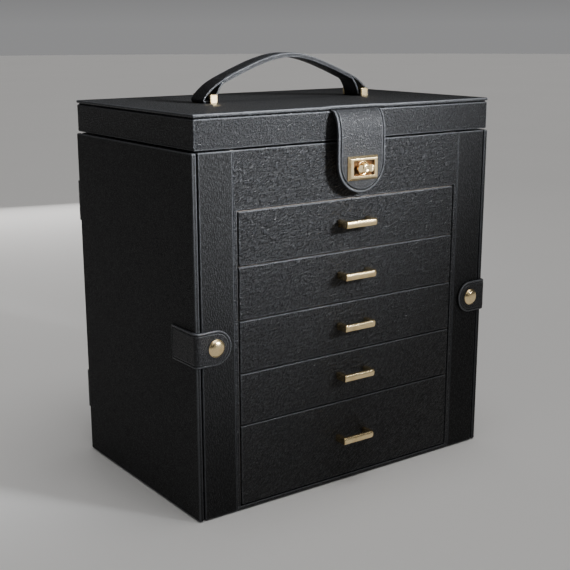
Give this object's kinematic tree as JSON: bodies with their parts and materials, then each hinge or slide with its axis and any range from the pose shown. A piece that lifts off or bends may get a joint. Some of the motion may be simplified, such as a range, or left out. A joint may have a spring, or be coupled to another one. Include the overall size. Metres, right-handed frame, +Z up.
{
  "type": "jewelry armoire",
  "caption": "Black leather-covered jewelry chest with a hinged lid and carry handle, a turn-lock tab, stacked drawers with bow pulls and snap-strapped side doors.",
  "frame": {"origin": "centre of the flat underside of the felt base pad, on the surface that the chest stands on", "axes": "+Z up, -Y out of the drawer front, +X to the chest's right side as seen from the front"},
  "size_m": [0.3184, 0.2206, 0.3703],
  "materials": {
    "front_leather": "black pebble-grain leather, satin, coarse grain",
    "lid_leather": "black pebble-grain leather, satin",
    "side_leather": "black fine-grain leather, satin",
    "polished_gold": "polished pale champagne gold plating",
    "hinge_black": "black-lacquered steel",
    "pin_steel": "plain steel",
    "lining": "soft taupe microfibre suede",
    "ring_pad": "padded taupe suede rolls",
    "board": "fibreboard wrapped in dark paper-backed suede",
    "felt": "black felt",
    "mirror_glass": "silvered glass"
  },
  "bodies": {
    "root": {"base_felt": "felt", "base_board": "front_leather", "back_panel": "side_leather", "left_divider": "lining", "right_divider": "lining", "left_stile": "front_leather", "right_stile": "front_leather", "side_roofs": "lid_leather", "front_frame": "front_leather", "tray_floor": "board", "drawer_shelves": "board", "tray_insert": "lining", "ring_rolls": "ring_pad", "necklace_hooks": "polished_gold", "side_pockets": "lining", "snap_studs": "polished_gold", "lock_keeper": "polished_gold", "hinge_body_leaves": "hinge_black", "hinge_pins": "pin_steel"},
    "lid": {"lid_rim": "lid_leather", "lid_top_board": "lid_leather", "lid_mirror": "mirror_glass", "lid_hinge_leaves": "hinge_black", "handle_staples": "polished_gold", "tab_anchor": "front_leather"},
    "handle": {"handle_grip": "lid_leather", "handle_loops": "lid_leather"},
    "tab": {"closure_tab": "front_leather", "lock_plate": "polished_gold"},
    "knob": {"turn_knob": "polished_gold"},
    "left_door": {"left_door": "side_leather", "left_door_leaves": "hinge_black", "left_strap_base": "side_leather"},
    "right_door": {"right_door": "side_leather", "right_door_leaves": "hinge_black", "right_strap_base": "side_leather"},
    "left_strap": {"left_strap_end": "side_leather", "left_snap_cap": "polished_gold"},
    "right_strap": {"right_strap_end": "side_leather", "right_snap_cap": "polished_gold"},
    "drawer_1": {"drawer_1_front": "front_leather", "drawer_1_box": "board", "drawer_1_insert": "lining", "drawer_1_pull": "polished_gold"},
    "drawer_2": {"drawer_2_front": "front_leather", "drawer_2_box": "board", "drawer_2_insert": "lining", "drawer_2_pull": "polished_gold"},
    "drawer_3": {"drawer_3_front": "front_leather", "drawer_3_box": "board", "drawer_3_insert": "lining", "drawer_3_pull": "polished_gold"},
    "drawer_4": {"drawer_4_front": "front_leather", "drawer_4_box": "board", "drawer_4_insert": "lining", "drawer_4_pull": "polished_gold"},
    "drawer_5": {"drawer_5_front": "front_leather", "drawer_5_box": "board", "drawer_5_insert": "lining", "drawer_5_pull": "polished_gold"}
  },
  "joints": [
    {"name": "lid_hinge", "type": "hinge", "parent": "root", "child": "lid", "pos_m": [0, 0.1019, 0.30175], "axis": [-1, 0, 0], "range_deg": [0, 100]},
    {"name": "handle_lift", "type": "slide", "parent": "lid", "child": "handle", "axis": [0, 0, 1], "range_m": [0, 0.0028]},
    {"name": "tab_fold", "type": "hinge", "parent": "lid", "child": "tab", "pos_m": [0, -0.101, 0.3268], "axis": [-1, 0, 0], "range_deg": [0, 80]},
    {"name": "knob_turn", "type": "hinge", "parent": "tab", "child": "knob", "pos_m": [0, -0.113, 0.2796], "axis": [0, -1, 0], "range_deg": [0, 90]},
    {"name": "right_door_hinge", "type": "hinge", "parent": "root", "child": "right_door", "pos_m": [0.1545, 0.1019, 0.15], "axis": [0, 0, 1], "range_deg": [0, 100]},
    {"name": "left_door_hinge", "type": "hinge", "parent": "root", "child": "left_door", "pos_m": [-0.1545, 0.1019, 0.15], "axis": [0, 0, -1], "range_deg": [0, 100]},
    {"name": "right_strap_fold", "type": "hinge", "parent": "right_door", "child": "right_strap", "pos_m": [0.1567, -0.1007, 0.147], "axis": [0, 0, 1], "range_deg": [0, 90]},
    {"name": "left_strap_fold", "type": "hinge", "parent": "left_door", "child": "left_strap", "pos_m": [-0.1567, -0.1007, 0.147], "axis": [0, 0, -1], "range_deg": [0, 90]},
    {"name": "drawer_1_slide", "type": "slide", "parent": "root", "child": "drawer_1", "axis": [0, -1, 0], "range_m": [0, 0.14]},
    {"name": "drawer_2_slide", "type": "slide", "parent": "root", "child": "drawer_2", "axis": [0, -1, 0], "range_m": [0, 0.14]},
    {"name": "drawer_3_slide", "type": "slide", "parent": "root", "child": "drawer_3", "axis": [0, -1, 0], "range_m": [0, 0.14]},
    {"name": "drawer_4_slide", "type": "slide", "parent": "root", "child": "drawer_4", "axis": [0, -1, 0], "range_m": [0, 0.14]},
    {"name": "drawer_5_slide", "type": "slide", "parent": "root", "child": "drawer_5", "axis": [0, -1, 0], "range_m": [0, 0.14]}
  ]
}
